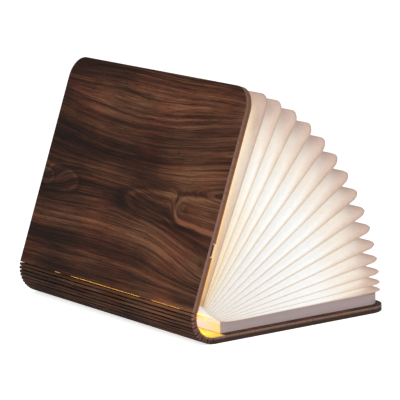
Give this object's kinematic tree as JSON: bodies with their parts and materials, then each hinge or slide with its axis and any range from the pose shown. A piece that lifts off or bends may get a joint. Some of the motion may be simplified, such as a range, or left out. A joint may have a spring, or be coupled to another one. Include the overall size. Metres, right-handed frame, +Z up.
{
  "type": "folding book lamp",
  "caption": "Book-shaped lamp: two plywood covers on a laser-cut living hinge, with a fan of folded white pages that lights up between them.",
  "frame": {"origin": "middle of the back cover's underside, on the surface that the lamp rests on", "axes": "+Z up, +Y along the spine, +X from the spine to the back cover's fore-edge"},
  "size_m": [0.175, 0.215, 0.1725],
  "materials": {
    "wood": "oiled",
    "paper": "matte",
    "block": "satin",
    "lid": "matte",
    "board": "satin",
    "pouch": "satin",
    "metal": "brushed",
    "magnet": "plated",
    "led": "satin",
    "diffuser": "frosted",
    "tube": "clear"
  },
  "bodies": {
    "back_half": {"back_cover": "wood", "back_tray": "block", "back_lid": "lid", "battery": "pouch", "control_board": "board", "reed_switch": "tube", "light_bar": "led", "diffuser": "diffuser", "back_magnets": "magnet", "spine_web": "paper", "pleat_1": "paper"},
    "leaf_1": {"page_1": "paper", "pleat_2": "paper"},
    "leaf_2": {"page_2": "paper", "pleat_3": "paper"},
    "leaf_3": {"page_3": "paper", "pleat_4": "paper"},
    "leaf_4": {"page_4": "paper", "pleat_5": "paper"},
    "leaf_5": {"page_5": "paper", "pleat_6": "paper"},
    "leaf_6": {"page_6": "paper", "pleat_7": "paper"},
    "leaf_7": {"page_7": "paper", "pleat_8": "paper"},
    "leaf_8": {"page_8": "paper", "pleat_9": "paper"},
    "leaf_9": {"page_9": "paper", "pleat_10": "paper"},
    "leaf_10": {"page_10": "paper", "pleat_11": "paper"},
    "leaf_11": {"page_11": "paper", "pleat_12": "paper"},
    "leaf_12": {"page_12": "paper", "pleat_13": "paper"},
    "leaf_13": {"page_13": "paper", "pleat_14": "paper"},
    "leaf_14": {"page_14": "paper", "pleat_15": "paper"},
    "leaf_15": {"page_15": "paper", "pleat_16": "paper"},
    "front_half": {"front_cover": "wood", "front_tray": "block", "front_lid": "lid", "charge_board": "board", "usb_socket": "metal", "front_magnets": "magnet"},
    "strip_1": {"hinge_strip_1": "wood"},
    "strip_2": {"hinge_strip_2": "wood"},
    "strip_3": {"hinge_strip_3": "wood"},
    "strip_4": {"hinge_strip_4": "wood"},
    "strip_5": {"hinge_strip_5": "wood"},
    "strip_6": {"hinge_strip_6": "wood"},
    "strip_7": {"hinge_strip_7": "wood"},
    "strip_8": {"hinge_strip_8": "wood"},
    "strip_9": {"hinge_strip_9": "wood"},
    "strip_10": {"hinge_strip_10": "wood"},
    "strip_11": {"hinge_strip_11": "wood"},
    "strip_12": {"hinge_strip_12": "wood"}
  },
  "joints": [
    {"name": "leaf_1_turn", "type": "hinge", "parent": "back_half", "child": "leaf_1", "pos_m": [-0.07753, 0, 0.00213], "axis": [0, -1, 0], "range_deg": [-0.95, 3.88], "deforming": ["pleat_1"]},
    {"name": "leaf_2_turn", "type": "hinge", "parent": "leaf_1", "child": "leaf_2", "pos_m": [-0.07822, 0, 0.00216], "axis": [0, -1, 0], "range_deg": [-2, 8.19], "deforming": ["pleat_2"]},
    {"name": "leaf_3_turn", "type": "hinge", "parent": "leaf_2", "child": "leaf_3", "pos_m": [-0.07933, 0, 0.00228], "axis": [0, -1, 0], "range_deg": [-2.8, 11.45], "deforming": ["pleat_3"]},
    {"name": "leaf_4_turn", "type": "hinge", "parent": "leaf_3", "child": "leaf_4", "pos_m": [-0.08074, 0, 0.00253], "axis": [0, -1, 0], "range_deg": [-3.46, 14.16], "deforming": ["pleat_4"]},
    {"name": "leaf_5_turn", "type": "hinge", "parent": "leaf_4", "child": "leaf_5", "pos_m": [-0.08238, 0, 0.00299], "axis": [0, -1, 0], "range_deg": [-4.02, 16.47], "deforming": ["pleat_5"]},
    {"name": "leaf_6_turn", "type": "hinge", "parent": "leaf_5", "child": "leaf_6", "pos_m": [-0.08417, 0, 0.0037], "axis": [0, -1, 0], "range_deg": [-4.5, 18.44], "deforming": ["pleat_6"]},
    {"name": "leaf_7_turn", "type": "hinge", "parent": "leaf_6", "child": "leaf_7", "pos_m": [-0.08602, 0, 0.0047], "axis": [0, -1, 0], "range_deg": [-4.91, 20.11], "deforming": ["pleat_7"]},
    {"name": "leaf_8_turn", "type": "hinge", "parent": "leaf_7", "child": "leaf_8", "pos_m": [-0.08788, 0, 0.00602], "axis": [0, -1, 0], "range_deg": [-5.24, 21.5], "deforming": ["pleat_8"]},
    {"name": "leaf_9_turn", "type": "hinge", "parent": "leaf_8", "child": "leaf_9", "pos_m": [-0.08967, 0, 0.00767], "axis": [0, -1, 0], "range_deg": [-5.51, 22.61], "deforming": ["pleat_9"]},
    {"name": "leaf_10_turn", "type": "hinge", "parent": "leaf_9", "child": "leaf_10", "pos_m": [-0.0913, 0, 0.00966], "axis": [0, -1, 0], "range_deg": [-5.71, 23.41], "deforming": ["pleat_10"]},
    {"name": "leaf_11_turn", "type": "hinge", "parent": "leaf_10", "child": "leaf_11", "pos_m": [-0.09267, 0, 0.01198], "axis": [0, -1, 0], "range_deg": [-5.82, 23.88], "deforming": ["pleat_11"]},
    {"name": "leaf_12_turn", "type": "hinge", "parent": "leaf_11", "child": "leaf_12", "pos_m": [-0.09368, 0, 0.01456], "axis": [0, -1, 0], "range_deg": [-5.84, 23.96], "deforming": ["pleat_12"]},
    {"name": "leaf_13_turn", "type": "hinge", "parent": "leaf_12", "child": "leaf_13", "pos_m": [-0.09425, 0, 0.01729], "axis": [0, -1, 0], "range_deg": [-5.74, 23.56], "deforming": ["pleat_13"]},
    {"name": "leaf_14_turn", "type": "hinge", "parent": "leaf_13", "child": "leaf_14", "pos_m": [-0.09435, 0, 0.01998], "axis": [0, -1, 0], "range_deg": [-5.48, 22.48], "deforming": ["pleat_14"]},
    {"name": "leaf_15_turn", "type": "hinge", "parent": "leaf_14", "child": "leaf_15", "pos_m": [-0.09404, 0, 0.02245], "axis": [0, -1, 0], "range_deg": [-4.94, 20.27], "deforming": ["pleat_15"]},
    {"name": "cover_opening", "type": "hinge", "parent": "leaf_15", "child": "front_half", "pos_m": [-0.09343, 0, 0.0234], "axis": [0, -1, 0], "range_deg": [-3.72, 15.27], "deforming": ["pleat_16", "spine_web"]},
    {"name": "strip_1_bend", "type": "hinge", "parent": "back_half", "child": "strip_1", "pos_m": [-0.0785, 0, 0.00225], "axis": [0, -1, 0], "range_deg": [-5.43, 22.28]},
    {"name": "strip_2_bend", "type": "hinge", "parent": "strip_1", "child": "strip_2", "pos_m": [-0.08097, 0, 0.00262], "axis": [0, -1, 0], "range_deg": [-5.43, 22.28]},
    {"name": "strip_3_bend", "type": "hinge", "parent": "strip_2", "child": "strip_3", "pos_m": [-0.08337, 0, 0.00334], "axis": [0, -1, 0], "range_deg": [-5.43, 22.28]},
    {"name": "strip_4_bend", "type": "hinge", "parent": "strip_3", "child": "strip_4", "pos_m": [-0.08563, 0, 0.00441], "axis": [0, -1, 0], "range_deg": [-5.43, 22.28]},
    {"name": "strip_5_bend", "type": "hinge", "parent": "strip_4", "child": "strip_5", "pos_m": [-0.08771, 0, 0.00579], "axis": [0, -1, 0], "range_deg": [-5.43, 22.28]},
    {"name": "strip_6_bend", "type": "hinge", "parent": "strip_5", "child": "strip_6", "pos_m": [-0.08956, 0, 0.00747], "axis": [0, -1, 0], "range_deg": [-5.43, 22.28]},
    {"name": "strip_12_bend", "type": "hinge", "parent": "front_half", "child": "strip_12", "pos_m": [-0.09367, 0, 0.02371], "axis": [0, -1, 0], "range_deg": [-22.28, 5.43]},
    {"name": "strip_11_bend", "type": "hinge", "parent": "strip_12", "child": "strip_11", "pos_m": [-0.09415, 0, 0.02126], "axis": [0, -1, 0], "range_deg": [-22.28, 5.43]},
    {"name": "strip_10_bend", "type": "hinge", "parent": "strip_11", "child": "strip_10", "pos_m": [-0.09427, 0, 0.01876], "axis": [0, -1, 0], "range_deg": [-22.28, 5.43]},
    {"name": "strip_9_bend", "type": "hinge", "parent": "strip_10", "child": "strip_9", "pos_m": [-0.09401, 0, 0.01628], "axis": [0, -1, 0], "range_deg": [-22.28, 5.43]},
    {"name": "strip_8_bend", "type": "hinge", "parent": "strip_9", "child": "strip_8", "pos_m": [-0.0934, 0, 0.01385], "axis": [0, -1, 0], "range_deg": [-22.28, 5.43]},
    {"name": "strip_7_bend", "type": "hinge", "parent": "strip_8", "child": "strip_7", "pos_m": [-0.09244, 0, 0.01154], "axis": [0, -1, 0], "range_deg": [-22.28, 5.43]}
  ],
  "couplings": [
    {"joint": "leaf_1_turn", "follows": "cover_opening", "ratio": 0.2532},
    {"joint": "leaf_2_turn", "follows": "cover_opening", "ratio": 0.53549},
    {"joint": "leaf_3_turn", "follows": "cover_opening", "ratio": 0.74944},
    {"joint": "leaf_4_turn", "follows": "cover_opening", "ratio": 0.92682},
    {"joint": "leaf_5_turn", "follows": "cover_opening", "ratio": 1.0778},
    {"joint": "leaf_6_turn", "follows": "cover_opening", "ratio": 1.2069},
    {"joint": "leaf_7_turn", "follows": "cover_opening", "ratio": 1.3165},
    {"joint": "leaf_8_turn", "follows": "cover_opening", "ratio": 1.4075},
    {"joint": "leaf_9_turn", "follows": "cover_opening", "ratio": 1.4798},
    {"joint": "leaf_10_turn", "follows": "cover_opening", "ratio": 1.5323},
    {"joint": "leaf_11_turn", "follows": "cover_opening", "ratio": 1.5632},
    {"joint": "leaf_12_turn", "follows": "cover_opening", "ratio": 1.5687},
    {"joint": "leaf_13_turn", "follows": "cover_opening", "ratio": 1.5422},
    {"joint": "leaf_14_turn", "follows": "cover_opening", "ratio": 1.4713},
    {"joint": "leaf_15_turn", "follows": "cover_opening", "ratio": 1.327},
    {"joint": "strip_1_bend", "follows": "cover_opening", "ratio": 1.4583},
    {"joint": "strip_2_bend", "follows": "cover_opening", "ratio": 1.4583},
    {"joint": "strip_3_bend", "follows": "cover_opening", "ratio": 1.4583},
    {"joint": "strip_4_bend", "follows": "cover_opening", "ratio": 1.4583},
    {"joint": "strip_5_bend", "follows": "cover_opening", "ratio": 1.4583},
    {"joint": "strip_6_bend", "follows": "cover_opening", "ratio": 1.4583},
    {"joint": "strip_12_bend", "follows": "cover_opening", "ratio": -1.4583},
    {"joint": "strip_11_bend", "follows": "cover_opening", "ratio": -1.4583},
    {"joint": "strip_10_bend", "follows": "cover_opening", "ratio": -1.4583},
    {"joint": "strip_9_bend", "follows": "cover_opening", "ratio": -1.4583},
    {"joint": "strip_8_bend", "follows": "cover_opening", "ratio": -1.4583},
    {"joint": "strip_7_bend", "follows": "cover_opening", "ratio": -1.4583}
  ]
}
